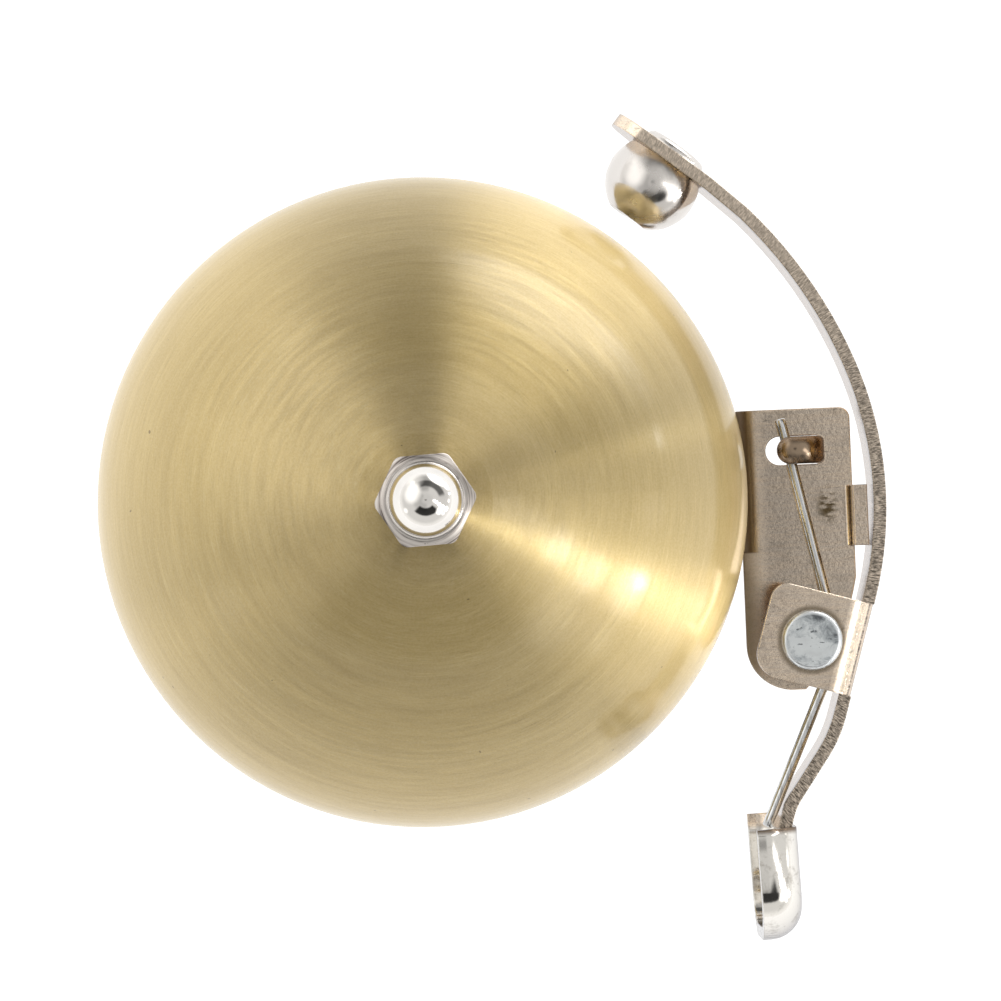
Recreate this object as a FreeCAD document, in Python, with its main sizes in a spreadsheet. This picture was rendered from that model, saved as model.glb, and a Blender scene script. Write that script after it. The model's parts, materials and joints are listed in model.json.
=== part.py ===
import FreeCAD, Part
import math
import os
import Sketcher
from FreeCAD import Placement, Rotation, Vector

# Striker bell for a 22.2 mm handlebar.  Millimetres.  The origin is the centre of the
# handlebar bore, +Z is the axis of the gong, +Y runs along the handlebar and +X points at
# the lever's pivot side.
SIZES = [
    # name, value, what it is
    ("gong_radius", 30.0, "outside radius at the rim"),
    ("gong_wall", 1.2, "brass wall"),
    ("gong_lip", 1.5, "straight lip above the rim"),
    ("gong_side_arc", 24.0, "profile radius of the shoulder"),
    ("gong_crown_arc", 33.3, "profile radius of the crown"),
    ("gong_land", 6.0, "radius of the flat land under the nut"),
    ("gong_hole", 2.7, "radius of the bolt hole"),
    ("rim_level", 25.0, "height of the rim above the bar centre"),
    ("bar_bore", 11.15, "bore radius of the liners on a 22.2 mm bar"),
    ("strap_inner", 12.1, "inner radius of the clamp halves"),
    ("strap_gauge", 1.5, "clamp sheet thickness"),
    ("strap_width", 16.0, "clamp width along the bar"),
    ("ear_gap", 1.5, "gap between the clamp ears"),
    ("ear_reach", 24.0, "end of the clamp ears"),
    ("screw_reach", 19.0, "clamp screws from the bar centre"),
    ("roof_half", 7.5, "half width of the raised roof"),
    ("roof_level", 16.7, "top of the raised roof"),
    ("sheet", 1.3, "bracket sheet thickness"),
    ("plate_level", 23.0, "top face of the bracket plate"),
    ("joggle_face", 29.5, "outer face of the bracket's down-turned wall"),
    ("arm_low", -5.95, "arm edge towards the thumb pad"),
    ("arm_high", 7.25, "arm edge towards the striker"),
    ("arm_end", -8.0, "far end of the arm past the bolt"),
    ("plate_right", 40.0, "outer edge of the plate"),
    ("tab_face", 40.95, "stop face of the upturned tab"),
    ("tab_top", 28.4, "top of the stop tab"),
    ("tab_low", -5.65, "lower edge of the stop tab"),
    ("tab_high", -0.05, "upper edge of the stop tab"),
    ("slot_left", 32.05, "end of the slot under the hook"),
    ("slot_right", 36.9, "root of the hook"),
    ("slot_centre", 3.4, "slot centre line"),
    ("slot_width", 2.65, "slot width"),
    ("hook_tip", 33.0, "free end of the hook"),
    ("hook_top", 25.4, "top of the hook"),
    ("pivot_across", 35.1, "pivot position across the bar"),
    ("pivot_along", -14.15, "pivot position along the bar"),
    ("pivot_turn", -16.5, "rest angle of the lever's ears"),
    ("rivet_shank", 1.3, "pivot rivet radius"),
    ("running_gap", 0.05, "radial running fit on the rivet"),
    ("side_gap", 0.3, "axial play between ears and plate"),
    ("strip", 1.15, "lever sheet thickness"),
    ("web_centre", 4.28, "middle of the web from the pivot"),
    ("fork_top", 30.8, "top face of the upper ear"),
    ("fork_bend", 2.2, "outside bend radius of the ears"),
    ("fork_inner", 4.6, "ears past the pivot, away from the web"),
    ("fork_low", 4.15, "ears past the pivot, towards the pad"),
    ("fork_high", 4.55, "ears past the pivot, towards the striker"),
    ("arm_height", 8.6, "height of the lever's arms"),
    ("swing_arc", 33.5, "bend radius of the striker arm by the web"),
    ("swing_angle", 38.0, "angle of that bend"),
    ("sweep_arc", 42.7, "bend radius further out"),
    ("sweep_angle", 22.4, "angle of that bend"),
    ("kink_arc", 6.0, "bend radius by the striker seat"),
    ("kink_angle", 4.0, "angle of that bend"),
    ("tip_reach", 3.75, "straight length past the kink"),
    ("tip_arc", 10.0, "last slight bend before the striker"),
    ("tip_angle", 3.5, "angle of that bend"),
    ("seat_reach", 3.85, "striker axis beyond the last bend"),
    ("seat_tail", 6.2, "strip end beyond the striker axis"),
    ("seat_round", 3.4, "corner radius of the strip end"),
    ("knee_arc", 12.0, "first bend of the pad arm"),
    ("knee_angle", 18.3, "angle of both bends of the pad arm"),
    ("heel_arc", 5.0, "second bend of the pad arm"),
    ("thumb_width", 16.0, "thumb pad width"),
    ("thumb_length", 10.3, "thumb pad length"),
    ("thumb_depth", 3.8, "depth of the dished pad"),
    ("thumb_across", 29.2, "pad rim across the bar"),
    ("thumb_along", -31.3, "pad start along the bar"),
    ("thumb_lean", 2.0, "lean of the pad in degrees"),
    ("ball_radius", 4.36, "striker ball radius"),
    ("ball_seat", 2.18, "ball centre from the lever face"),
    ("ball_front", 3.9, "striking flat from the ball centre"),
    ("wire", 0.5, "spring wire radius"),
    ("coil_radius", 2.75, "mean radius of the spring coil"),
    ("coil_pitch", 1.08, "coil pitch"),
    ("coil_turns", 4.0, "whole turns of the coil"),
    ("bolt_radius", 2.48, "M5 bolt"),
    ("bolt_flats", 8.0, "bolt head and cap nut across flats"),
    ("bolt_head", 2.2, "low bolt head height"),
    ("bolt_end", 6.0, "bolt length inside the cap nut"),
    ("post_radius", 4.5, "spacer tube radius"),
    ("washer_height", 1.2, "lock washer thickness"),
    ("crown_washer_height", 1.0, "nylon washer thickness"),
    ("nut_hex", 3.6, "hexagon height of the cap nut"),
    ("nut_cap", 3.2, "cap radius of the cap nut"),
    ("nut_height", 8.8, "overall height of the cap nut"),
    ("nut_turn", 2.7, "rest angle of the cap nut"),
]


class Size(float):
    """A length together with the sheet expression that gives it."""

    def __new__(cls, value, text):
        number = float.__new__(cls, value)
        number.text = text
        return number

    def __add__(self, other):
        return Size(float(self) + float(other), "(%s + %s)" % (self.text, as_text(other)))

    def __radd__(self, other):
        return Size(float(other) + float(self), "(%s + %s)" % (as_text(other), self.text))

    def __sub__(self, other):
        return Size(float(self) - float(other), "(%s - %s)" % (self.text, as_text(other)))

    def __rsub__(self, other):
        return Size(float(other) - float(self), "(%s - %s)" % (as_text(other), self.text))

    def __mul__(self, other):
        return Size(float(self) * float(other), "(%s * %s)" % (self.text, as_text(other)))

    def __rmul__(self, other):
        return Size(float(other) * float(self), "(%s * %s)" % (as_text(other), self.text))

    def __truediv__(self, other):
        return Size(float(self) / float(other), "(%s / %s)" % (self.text, as_text(other)))

    def __neg__(self):
        return Size(-float(self), "(0 - %s)" % self.text)

    def root(self):
        return Size(math.sqrt(float(self)), "sqrt(%s)" % self.text)


def as_text(number):
    return number.text if isinstance(number, Size) else repr(float(number))


def leg(hypotenuse, side):
    """Second leg of a right-angled triangle."""
    return (hypotenuse * hypotenuse - side * side).root()


os.makedirs("parts", exist_ok=True)
doc = FreeCAD.newDocument("striker_bell")
sheet = doc.addObject("Spreadsheet::Sheet", "Sizes")


class Sheet:
    """The driving sizes as attributes, each tied to its cell."""

    def __init__(self):
        for row, (name, value, note) in enumerate(SIZES, start=1):
            sheet.set("A%d" % row, name)
            sheet.set("B%d" % row, str(value))
            sheet.set("C%d" % row, note)
            sheet.setAlias("B%d" % row, name)
            setattr(self, name, Size(value, "Sizes." + name))


size = Sheet()
doc.recompute()

PLATE_BOTTOM = size.plate_level - size.sheet
ARM_TOP = size.roof_level + size.sheet
FORK_BOTTOM = PLATE_BOTTOM - size.side_gap - size.strip
FORK_MIDDLE = (size.fork_top + FORK_BOTTOM) / 2
# The crown arc is centred on the axis and touches the shoulder arc from inside.
CROWN_CENTRE = size.gong_lip - leg(size.gong_crown_arc - size.gong_side_arc,
                                   size.gong_radius - size.gong_side_arc)
LAND = size.rim_level + CROWN_CENTRE + leg(size.gong_crown_arc, size.gong_land)
LAND_UNDER = size.rim_level + CROWN_CENTRE + leg(size.gong_crown_arc - size.gong_wall,
                                                 size.gong_land)
STRAP_OUTER = size.strap_inner + size.strap_gauge
NODES = []


# ------------------------------------------------------------------ drawing helpers
def bind(target, prop, value):
    if isinstance(value, Size):
        target.setExpression(prop, value.text)
    else:
        setattr(target, prop, value)


def place(target, x=0, y=0, z=0, turn=0):
    """Puts a finished object at its place, turned about the vertical."""
    target.Placement = Placement(Vector(float(x), float(y), float(z)),
                                 Rotation(Vector(0, 0, 1), float(turn)))
    for axis, value in (("x", x), ("y", y), ("z", z)):
        if isinstance(value, Size):
            target.setExpression("Placement.Base." + axis, value.text)
    if isinstance(turn, Size):
        target.setExpression("Placement.Rotation.Angle", turn.text + " * 1deg")


def new_body(name):
    body = doc.addObject("PartDesign::Body", name)
    body.Label = name
    return body


def new_sketch(body, name, plane, level=0):
    """A sketch on one of the body's own planes, raised along the plane's normal."""
    sketch = body.newObject("Sketcher::SketchObject", name)
    support = [f for f in body.Origin.OriginFeatures if f.Role == plane][0]
    sketch.AttachmentSupport = (support, [""])
    sketch.MapMode = "FlatFace"
    if isinstance(level, Size):
        sketch.setExpression("AttachmentOffset.Base.z", level.text)
    else:
        sketch.AttachmentOffset = Placement(Vector(0, 0, float(level)), Rotation())
    return sketch


def pin_point(sketch, curve, end, x, y):
    """Fixes one end of a curve at a position given by sizes."""
    for kind, value, axis in (("DistanceX", x, -2), ("DistanceY", y, -1)):
        if float(value) == 0:
            sketch.addConstraint(Sketcher.Constraint("PointOnObject", curve, end, axis))
            continue
        index = sketch.addConstraint(Sketcher.Constraint(kind, curve, end, float(value)))
        if isinstance(value, Size):
            sketch.setExpression("Constraints[%d]" % index, value.text)


def arc_between(start, finish, radius):
    """Arc from start to finish; a positive radius keeps the centre on the left."""
    a = Vector(float(start[0]), float(start[1]), 0)
    b = Vector(float(finish[0]), float(finish[1]), 0)
    chord = b - a
    rise = math.sqrt(max(float(radius) ** 2 - (chord.Length / 2) ** 2, 0.0))
    left = Vector(-chord.y, chord.x, 0).normalize()
    centre = (a + b) * 0.5 + left * math.copysign(rise, float(radius))
    first, last = (a, b) if radius > 0 else (b, a)
    angles = [math.atan2(p.y - centre.y, p.x - centre.x) for p in (first, last)]
    circle = Part.Circle(centre, Vector(0, 0, 1), abs(float(radius)))
    return Part.ArcOfCircle(circle, angles[0], angles[1])


def outline(body, name, plane, corners, level=0):
    """Closed contour; a corner (x, y, radius) starts an arc of that signed radius."""
    sketch = new_sketch(body, name, plane, level)
    ends = []
    for place_in_list, corner in enumerate(corners):
        following = corners[(place_in_list + 1) % len(corners)]
        if len(corner) == 2:
            a = Vector(float(corner[0]), float(corner[1]), 0)
            b = Vector(float(following[0]), float(following[1]), 0)
            curve = sketch.addGeometry(Part.LineSegment(a, b))
            ends.append((curve, 1, 2))
            continue
        curve = sketch.addGeometry(arc_between(corner, following, corner[2]))
        ends.append((curve, 1, 2) if corner[2] > 0 else (curve, 2, 1))
    for (curve, _, last), (after, first, _) in zip(ends, ends[1:] + ends[:1]):
        sketch.addConstraint(Sketcher.Constraint("Coincident", curve, last, after, first))
    for (curve, first, _), corner in zip(ends, corners):
        pin_point(sketch, curve, first, corner[0], corner[1])
        if len(corner) == 3:
            radius = corner[2] if corner[2] > 0 else -corner[2]
            rule = Sketcher.Constraint("Radius", curve, float(radius))
            index = sketch.addConstraint(rule)
            if isinstance(radius, Size):
                sketch.setExpression("Constraints[%d]" % index, radius.text)
    return sketch


def circle(body, name, plane, x, y, radius, level=0):
    sketch = new_sketch(body, name, plane, level)
    shape = Part.Circle(Vector(float(x), float(y), 0), Vector(0, 0, 1), float(radius))
    curve = sketch.addGeometry(shape)
    index = sketch.addConstraint(Sketcher.Constraint("Radius", curve, float(radius)))
    if isinstance(radius, Size):
        sketch.setExpression("Constraints[%d]" % index, radius.text)
    if float(x) == 0 and float(y) == 0:
        sketch.addConstraint(Sketcher.Constraint("Coincident", curve, 3, -1, 1))
    else:
        pin_point(sketch, curve, 3, x, y)
    return sketch


def hexagon(flats, turn=0.0):
    """Corners of a hexagon round the origin from its width across flats."""
    reach = flats / math.sqrt(3)
    angles = [math.radians(turn + 60 * k) for k in range(6)]
    return [(reach * round(math.cos(a), 9), reach * round(math.sin(a), 9)) for a in angles]


def pad(body, sketch, length, back=False):
    feature = body.newObject("PartDesign::Pad", sketch.Name + "_pad")
    feature.Profile = sketch
    bind(feature, "Length", length)
    feature.Reversed = back
    return feature


def pocket(body, sketch, length=None, back=False):
    """Cuts to a depth, or right through both ways when no length is given."""
    before = solid_volume(body)
    feature = body.newObject("PartDesign::Pocket", sketch.Name + "_cut")
    feature.Profile = sketch
    feature.Reversed = back
    if length is None:
        feature.Type = "ThroughAll"
        feature.Midplane = True
    else:
        bind(feature, "Length", length)
    if not solid_volume(body) < before - 1e-3:
        raise RuntimeError(sketch.Name + " cuts nothing")
    return feature


def spin(body, sketch, axis="V_Axis", kind="Revolution"):
    feature = body.newObject("PartDesign::" + kind, sketch.Name + "_spin")
    feature.Profile = sketch
    feature.ReferenceAxis = (sketch, [axis])
    feature.Angle = 360
    return feature


def solid_volume(body):
    doc.recompute()
    return body.Shape.Volume


def edges_where(shape, test):
    return ["Edge%d" % (i + 1) for i, edge in enumerate(shape.Edges) if test(edge)]


def dress(body, kind, amount, test):
    """Fillet or chamfer on the edges of the body that pass the test."""
    doc.recompute()
    base = body.Tip
    names = edges_where(base.Shape, test)
    if not names:
        raise RuntimeError("no edge to dress on " + body.Name)
    feature = body.newObject("PartDesign::" + kind, body.Name + "_" + kind.lower())
    feature.Base = (base, names)
    bind(feature, "Radius" if kind == "Fillet" else "Size", amount)
    doc.recompute()
    return feature


def is_upright(edge):
    """A straight edge along Z."""
    a, b = edge.Vertexes[0].Point, edge.Vertexes[-1].Point
    return len(edge.Vertexes) == 2 and (b - a).cross(Vector(0, 0, 1)).Length < 1e-6


def cylinder(name, radius, height):
    shape = doc.addObject("Part::Cylinder", name)
    bind(shape, "Radius", radius)
    bind(shape, "Height", height)
    return shape


def cut_from(name, base, tool):
    shape = doc.addObject("Part::Cut", name)
    shape.Base = base
    shape.Tool = tool
    return shape


def finish(shape, name):
    """Registers a finished sub-part under its node name."""
    shape.Label = name
    NODES.append(shape)
    return shape


def ring(name, inner, outer, height, level):
    """A plain washer or tube standing on a level."""
    body = new_body(name)
    section = outline(body, name + "_section", "XZ_Plane",
                      [(inner, 0), (outer, 0), (outer, height), (inner, height)])
    spin(body, section)
    place(body, z=level)
    return finish(body, name)


# ------------------------------------------------------------------ gong and its fixing
def make_gong():
    body = new_body("bell_dome")
    shoulder = size.gong_radius - size.gong_side_arc
    lean = shoulder / (size.gong_crown_arc - size.gong_side_arc)
    lift = leg(Size(1.0, "1"), lean)
    inner_side = size.gong_side_arc - size.gong_wall
    inner_crown = size.gong_crown_arc - size.gong_wall
    inner_radius = size.gong_radius - size.gong_wall
    land = LAND - size.rim_level
    land_under = LAND_UNDER - size.rim_level
    section = outline(body, "gong_section", "XZ_Plane", [
        (size.gong_radius, 0),
        (size.gong_radius, size.gong_lip, size.gong_side_arc),
        (shoulder + size.gong_side_arc * lean, size.gong_lip + size.gong_side_arc * lift,
         size.gong_crown_arc),
        (size.gong_land, land),
        (size.gong_hole, land),
        (size.gong_hole, land_under),
        (size.gong_land, land_under, -inner_crown),
        (shoulder + inner_side * lean, size.gong_lip + inner_side * lift, -inner_side),
        (inner_radius, size.gong_lip),
        (inner_radius, 0),
    ])
    spin(body, section)
    place(body, z=size.rim_level)
    dress(body, "Fillet", 0.3, lambda e: is_rim_edge(e))
    finish(body, "bell_dome")


def is_rim_edge(edge):
    box = edge.BoundBox
    return box.ZMax < 1e-6 and box.XMax > 20


def make_cap_nut():
    body = new_body("acorn_nut")
    blank = outline(body, "nut_flats", "XY_Plane", hexagon(size.bolt_flats))
    pad(body, blank, size.nut_hex)
    dress(body, "Fillet", 0.9, is_upright)
    across = size.bolt_flats / math.sqrt(3)
    chamfer = outline(body, "nut_chamfer", "XZ_Plane", [
        (size.bolt_flats / 2 - 0.35, size.nut_hex),
        (across + 0.2, size.nut_hex - 0.68),
        (across + 0.2, size.nut_hex),
    ])
    spin(body, chamfer, kind="Groove")
    shoulder = size.nut_height - size.nut_cap
    neck = size.nut_cap + 0.35
    cap = outline(body, "nut_dome", "XZ_Plane", [
        (0, size.nut_hex - 0.5),
        (neck, size.nut_hex - 0.5),
        (neck, size.nut_hex, -0.35),
        (size.nut_cap, size.nut_hex + 0.35),
        (size.nut_cap, shoulder, size.nut_cap),
        (0, size.nut_height),
    ])
    spin(body, cap)
    thread = circle(body, "nut_thread", "XY_Plane", 0, 0, size.bolt_radius + 0.02)
    pocket(body, thread, size.bolt_end + 0.6, back=True)
    place(body, z=LAND, turn=size.nut_turn)
    finish(body, "acorn_nut")


def make_centre_bolt():
    body = new_body("centre_bolt")
    head = outline(body, "bolt_head_flats", "XY_Plane", hexagon(size.bolt_flats, 30.0))
    pad(body, head, size.bolt_head, back=True)
    roof_under = size.roof_level - size.strap_gauge
    shank = circle(body, "bolt_shank", "XY_Plane", 0, 0, size.bolt_radius)
    pad(body, shank, LAND + size.bolt_end - roof_under)
    dress(body, "Chamfer", 0.5, lambda e: e.BoundBox.ZMin > 20)
    place(body, z=roof_under)
    finish(body, "centre_bolt")


def make_spacers():
    hole = size.gong_hole
    ring("post_lock_washer", hole, size.post_radius, size.washer_height, ARM_TOP)
    foot = ARM_TOP + size.washer_height
    head = LAND_UNDER - size.crown_washer_height
    ring("centre_post", hole, size.post_radius, head - foot, foot)
    ring("crown_washer", hole, size.gong_land, size.crown_washer_height, head)


# ------------------------------------------------------------------ bracket
def make_plate(body):
    """Flat plate outline, with the corner by the pivot cut back for the lever's web."""
    px, py = size.pivot_across, size.pivot_along
    clear = 3.3
    turn = math.radians(float(size.pivot_turn))
    face = (px + clear * math.cos(turn), py + clear * math.sin(turn))
    toe = (px + clear * math.cos(math.radians(-60)), py + clear * math.sin(math.radians(-60)))
    inner = size.joggle_face + 1.7
    left = size.joggle_face + 0.1
    corner = 4.2
    right = size.plate_right
    sketch = outline(body, "plate_outline", "XY_Plane", [
        (inner, size.arm_high),
        (inner, size.arm_low),
        (left, size.arm_low),
        (left, py - 0.5, corner),
        (left + corner, py - 0.5 - corner),
        (px - 0.2, py - 0.5 - corner),
        toe + (clear,),
        face,
        (right - 0.3, py + 4.3),
        (right, py + 5.6),
        (right, size.arm_high - 1.0, 1.0),
        (right - 1.0, size.arm_high),
    ], PLATE_BOTTOM)
    pad(body, sketch, size.sheet)


def make_arm(body):
    """Down-turned wall and the arm under the gong, as one bent strip seen from the side."""
    face = size.joggle_face
    back = face + size.sheet
    tight = 0.4
    wide = tight + size.sheet
    sketch = outline(body, "arm_side", "XZ_Plane", [
        (face + 2.6, size.plate_level),
        (face + wide, size.plate_level, wide),
        (face, size.plate_level - wide),
        (face, ARM_TOP + tight, -tight),
        (face - tight, ARM_TOP),
        (size.arm_end, ARM_TOP),
        (size.arm_end, size.roof_level),
        (back - wide, size.roof_level, wide),
        (back, size.roof_level + wide),
        (back, PLATE_BOTTOM - tight, -tight),
        (back + tight, PLATE_BOTTOM),
        (face + 2.6, PLATE_BOTTOM),
    ], -size.arm_high)
    pad(body, sketch, size.arm_high - size.arm_low, back=False)


def make_stop_tab(body):
    """Tab turned up from the plate's outer edge; the lever rests against its face."""
    face = size.tab_face
    inner = face - size.sheet
    tight = 0.4
    wide = tight + size.sheet
    sketch = outline(body, "tab_side", "XZ_Plane", [
        (inner - 1.6, PLATE_BOTTOM),
        (face - wide, PLATE_BOTTOM, wide),
        (face, PLATE_BOTTOM + wide),
        (face, size.tab_top),
        (inner, size.tab_top),
        (inner, size.plate_level + tight, -tight),
        (inner - tight, size.plate_level),
        (inner - 1.6, size.plate_level),
    ], -size.tab_high)
    pad(body, sketch, size.tab_high - size.tab_low)


def make_hook(body):
    """Slot in the plate and the tongue lanced out of it, curled over the spring wire."""
    half = size.slot_width / 2
    low, high = size.slot_centre - half, size.slot_centre + half
    left, right = size.slot_left, size.slot_right
    slot = outline(body, "hook_slot", "XY_Plane", [
        (right, low),
        (right, high),
        (left + half, high, half),
        (left, size.slot_centre, half),
        (left + half, low),
    ], size.plate_level)
    pocket(body, slot, size.sheet + 0.1)
    wide = 1.6
    tight = 0.5
    root = right + 0.6
    inner = root - 1.1
    under = size.hook_top - 1.1
    tongue = outline(body, "hook_side", "XZ_Plane", [
        (root, PLATE_BOTTOM),
        (root, size.hook_top - wide, wide),
        (root - wide, size.hook_top),
        (size.hook_tip, size.hook_top),
        (size.hook_tip, under),
        (inner - tight, under, -tight),
        (inner, under - tight),
        (inner, PLATE_BOTTOM),
    ], -(high - 0.05))
    pad(body, tongue, size.slot_width - 0.1)
    nose = size.slot_width / 2 - 0.05
    middle = size.slot_centre
    trim = outline(body, "hook_nose", "XY_Plane", [
        (size.hook_tip + nose, middle + nose, nose),
        (size.hook_tip, middle, nose),
        (size.hook_tip + nose, middle - nose),
        (size.hook_tip + nose, middle - nose - 0.3),
        (size.hook_tip - 0.3, middle - nose - 0.3),
        (size.hook_tip - 0.3, middle + nose + 0.3),
        (size.hook_tip + nose, middle + nose + 0.3),
    ], size.hook_top + 0.1)
    pocket(body, trim, 1.3)
    dress(body, "Fillet", 0.5, lambda e: is_hook_edge(e))


def is_hook_edge(edge):
    """Long top edges of the hook and the half circle round its nose."""
    box = edge.BoundBox
    return abs(box.ZMin - float(size.hook_top)) < 1e-6 and box.ZLength < 1e-6 \
        and box.XLength > 0.1


def make_bracket():
    body = new_body("bracket")
    make_plate(body)
    make_arm(body)
    make_stop_tab(body)
    make_hook(body)
    px, py = size.pivot_across, size.pivot_along
    pivot_hole = circle(body, "pivot_hole", "XY_Plane", px, py,
                        size.rivet_shank + size.running_gap, size.plate_level)
    pocket(body, pivot_hole, size.sheet + 0.1)
    bolt_hole = circle(body, "arm_hole", "XY_Plane", 0, 0, size.gong_hole, ARM_TOP)
    pocket(body, bolt_hole, size.sheet + 0.1)
    dress(body, "Fillet", 6.0, lambda e: is_upright(e) and e.BoundBox.XMax < -7)
    finish(body, "bracket")


# ------------------------------------------------------------------ lever
def bend_path(body, name, start, heading, pieces):
    """Chain of tangent lines and arcs; each arc is (radius, angle), left turns positive."""
    sketch = new_sketch(body, name, "XY_Plane", FORK_MIDDLE)
    here = Vector(float(start[0]), float(start[1]), 0)
    angle = math.radians(heading)
    last = None
    for piece in pieces:
        if len(piece) == 1:
            there = here + Vector(math.cos(angle), math.sin(angle), 0) * float(piece[0])
            curve = sketch.addGeometry(Part.LineSegment(here, there))
            ends = (1, 2)
            rules = [("Distance", piece[0])]
        else:
            radius, sweep = piece
            side = math.copysign(1.0, float(sweep))
            turn = math.radians(float(sweep))
            normal = Vector(-math.sin(angle), math.cos(angle), 0) * side
            centre = here + normal * float(radius)
            there = centre + Rotation(Vector(0, 0, 1), float(sweep)).multVec(here - centre)
            curve = sketch.addGeometry(swept_arc(centre, here, there, radius, side))
            ends = (1, 2) if side > 0 else (2, 1)
            rules = [("Radius", radius), ("Angle", sweep if side > 0 else -sweep)]
            angle += turn
        if last is None:
            pin_point(sketch, curve, ends[0], start[0], start[1])
            sketch.addConstraint(Sketcher.Constraint("Vertical", curve))
        else:
            rule = Sketcher.Constraint("Tangent", last[0], last[1], curve, ends[0])
            sketch.addConstraint(rule)
        for kind, value in rules:
            add_rule(sketch, kind, curve, value)
        last = (curve, ends[1])
        here = there
    return sketch, here, math.degrees(angle)


def swept_arc(centre, here, there, radius, side):
    first, last = (here, there) if side > 0 else (there, here)
    angles = [math.atan2(p.y - centre.y, p.x - centre.x) for p in (first, last)]
    return Part.ArcOfCircle(Part.Circle(centre, Vector(0, 0, 1), float(radius)),
                            angles[0], angles[1])


def add_rule(sketch, kind, curve, value):
    number = math.radians(float(value)) if kind == "Angle" else float(value)
    index = sketch.addConstraint(Sketcher.Constraint(kind, curve, number))
    unit = " * 1deg" if kind == "Angle" else ""
    sketch.setExpression("Constraints[%d]" % index, as_text(value) + unit)


def sweep_arm(body, name, heading, root, pieces):
    """Sweeps the upright strip section along a bent path that starts at the web's end."""
    half = size.strip / 2
    low = FORK_MIDDLE - size.arm_height / 2
    high = FORK_MIDDLE + size.arm_height / 2
    section = outline(body, name + "_section", "XZ_Plane", [
        (size.web_centre - half, low),
        (size.web_centre + half, low),
        (size.web_centre + half, high),
        (size.web_centre - half, high),
    ], -root)
    path, end, angle = bend_path(body, name + "_path", (size.web_centre, root), heading, pieces)
    feature = body.newObject("PartDesign::AdditivePipe", name + "_sweep")
    feature.Profile = section
    feature.Spine = (path, [""])
    doc.recompute()
    return end, angle


def make_fork(body):
    """Ears and web: a U-shaped channel, with the ears' free corners rounded."""
    half = size.strip / 2
    face = size.web_centre + half
    inner = size.web_centre - half
    bend = size.fork_bend
    tight = bend - size.strip
    top, bottom = size.fork_top, FORK_BOTTOM
    section = outline(body, "fork_section", "XZ_Plane", [
        (-size.fork_inner, top),
        (-size.fork_inner, top - size.strip),
        (inner - tight, top - size.strip, -tight),
        (inner, top - bend),
        (inner, bottom + bend, -tight),
        (inner - tight, bottom + size.strip),
        (-size.fork_inner, bottom + size.strip),
        (-size.fork_inner, bottom),
        (face - bend, bottom, bend),
        (face, bottom + bend),
        (face, top - bend, bend),
        (face - bend, top),
    ], -size.fork_high)
    pad(body, section, size.fork_high + size.fork_low)
    for side, corner in ((1, 1.6), (-1, 2.2)):
        dress(body, "Fillet", corner, lambda e: is_ear_tip(e, side))


def is_ear_tip(edge, side):
    box = edge.BoundBox
    return is_upright(edge) and box.XMax < -4 and box.YMax * side > 0


def make_thumb_pad():
    """Dished pad, open where the strip enters, closed and rounded at its free end."""
    body = new_body("thumb_dish")
    half = size.thumb_width / 2
    round_end = 4.5
    tongue = 0.9
    skin = size.strip
    end = -size.thumb_length
    outer = outline(body, "dish_outline", "YZ_Plane", [
        (tongue, -half),
        (tongue, -size.arm_height / 2),
        (0, -size.arm_height / 2 + tongue),
        (0, half),
        (end + round_end, half, round_end),
        (end, half - round_end),
        (end, round_end - half, round_end),
        (end + round_end, -half),
    ])
    pad(body, outer, size.thumb_depth)
    dress(body, "Fillet", 3.0, lambda e: e.BoundBox.XMin > 3 and e.BoundBox.YMin < -1)
    inner_end = end + skin
    inner_round = round_end - skin
    inner_half = half - skin
    hollow = outline(body, "dish_hollow", "YZ_Plane", [
        (tongue + 0.2, -inner_half),
        (tongue + 0.2, inner_half),
        (inner_end + inner_round, inner_half, inner_round),
        (inner_end, inner_half - inner_round),
        (inner_end, inner_round - inner_half, inner_round),
        (inner_end + inner_round, -inner_half),
    ])
    pocket(body, hollow, size.thumb_depth - skin, back=True)
    floor = float(size.thumb_depth - skin)
    dress(body, "Fillet", 1.9, lambda e: is_floor_edge(e, floor))
    place(body, size.thumb_across, size.thumb_along, FORK_MIDDLE, size.thumb_lean)
    return body


def is_floor_edge(edge, floor):
    box = edge.BoundBox
    return abs(box.XMin - floor) < 1e-6 and abs(box.XMax - floor) < 1e-6 and box.YMin < -0.1


def is_end_corner(edge, end):
    box = edge.BoundBox
    middle = box.Center
    near = math.hypot(middle.x - end.x, middle.y - end.y) < 0.1
    return near and box.ZLength < 1e-6


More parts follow.
